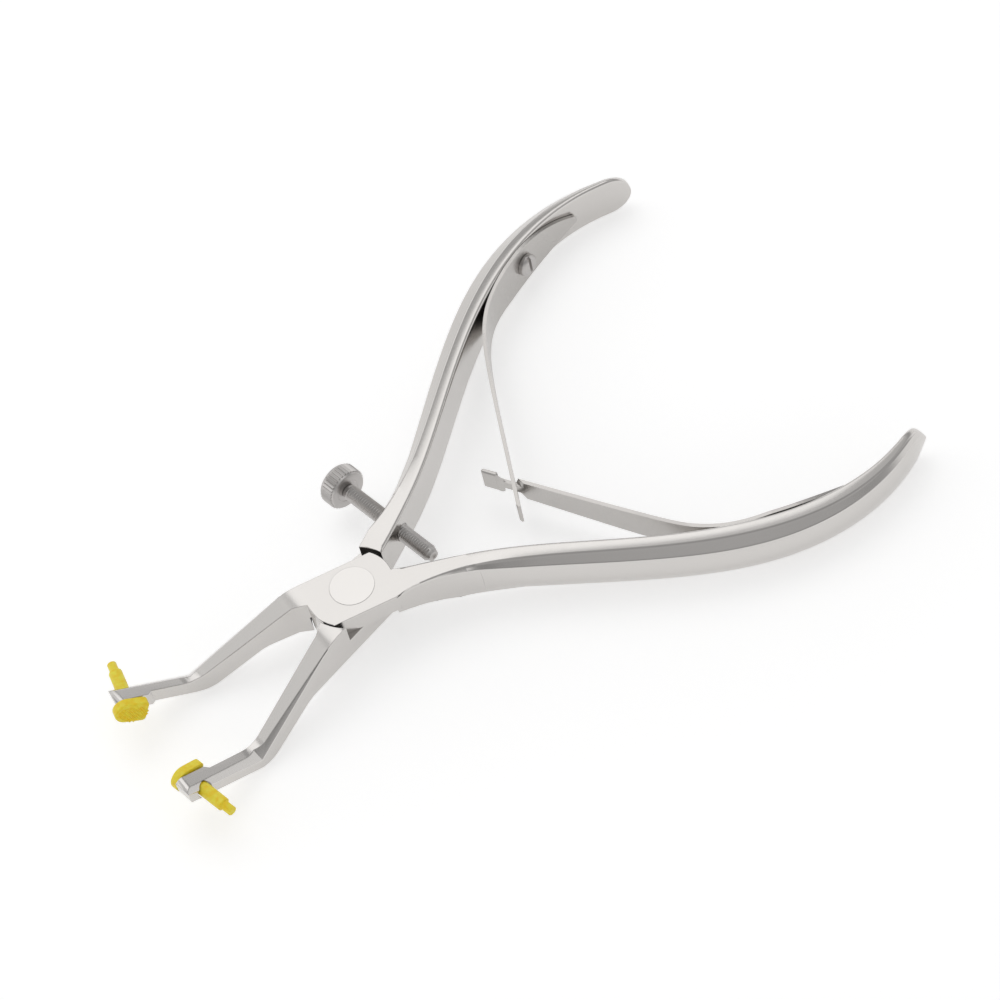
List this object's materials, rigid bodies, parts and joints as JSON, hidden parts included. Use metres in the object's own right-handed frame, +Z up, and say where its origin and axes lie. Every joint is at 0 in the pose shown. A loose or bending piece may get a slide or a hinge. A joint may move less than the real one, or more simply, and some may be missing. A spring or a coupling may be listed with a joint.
{
  "type": "crown remover pliers",
  "caption": "Lap-joint dental pliers with arched jaws, replaceable gripping pads, crossed leaf springs and a knurled stop screw.",
  "frame": {"origin": "on the pivot axis, at the flat underside of the lap joint", "axes": "+X from the joint towards the handles, +Y towards the handle with the stop screw, +Z up out of the joint's top face"},
  "size_m": [0.1588, 0.1054, 0.0148],
  "materials": {
    "lever_steel": "satin ground stainless steel",
    "pin_steel": "satin stainless steel, ground flush",
    "spring_steel": "rolled stainless spring strip",
    "screw_steel": "turned stainless steel",
    "pad_plastic": "moulded yellow plastic with a rough face"
  },
  "bodies": {
    "top_lever": {"top_lap_lever": "lever_steel", "pivot_pin": "pin_steel", "top_lever_pad": "pad_plastic", "t_head_spring_screw": "screw_steel"},
    "bottom_lever": {"bottom_lap_lever": "lever_steel", "bottom_lever_pad": "pad_plastic", "slotted_spring_screw": "screw_steel"},
    "t_head_leaf": {"t_head_spring": "spring_steel"},
    "slotted_leaf": {"slotted_spring": "spring_steel"},
    "stop_screw": {"stop_screw_stud": "screw_steel"},
    "stop_knob": {"stop_screw_knob": "screw_steel"}
  },
  "joints": [
    {"name": "jaw_pivot", "type": "hinge", "parent": "top_lever", "child": "bottom_lever", "pos_m": [0, 0, 0.0045], "axis": [0, 0, -1], "range_deg": [0, 12], "stiffness_Nm_per_rad": 1.5, "springref_deg": -5.73},
    {"name": "t_head_spring_flex", "type": "hinge", "parent": "top_lever", "child": "t_head_leaf", "pos_m": [0.057, -0.033, 0.0045], "axis": [0, 0, 1], "range_deg": [0, 11], "deforming": ["t_head_spring"]},
    {"name": "slotted_spring_flex", "type": "hinge", "parent": "bottom_lever", "child": "slotted_leaf", "pos_m": [0.057, 0.033, 0.0045], "axis": [0, 0, -1], "range_deg": [0, 11], "deforming": ["slotted_spring"]},
    {"name": "stop_screw_feed", "type": "slide", "parent": "bottom_lever", "child": "stop_screw", "axis": [-0.1305, 0.9914, 0], "range_m": [0, 0.006]},
    {"name": "stop_screw_turn", "type": "hinge", "parent": "stop_screw", "child": "stop_knob", "pos_m": [0.01414, 0.02268, 0.0045], "axis": [-0.1305, 0.9914, 0], "range_deg": [0, 3601]}
  ],
  "couplings": [
    {"joint": "t_head_spring_flex", "follows": "jaw_pivot", "ratio": 0.9},
    {"joint": "slotted_spring_flex", "follows": "jaw_pivot", "ratio": 0.9},
    {"joint": "stop_screw_turn", "follows": "stop_screw_feed", "rad_per_m": 10472}
  ]
}
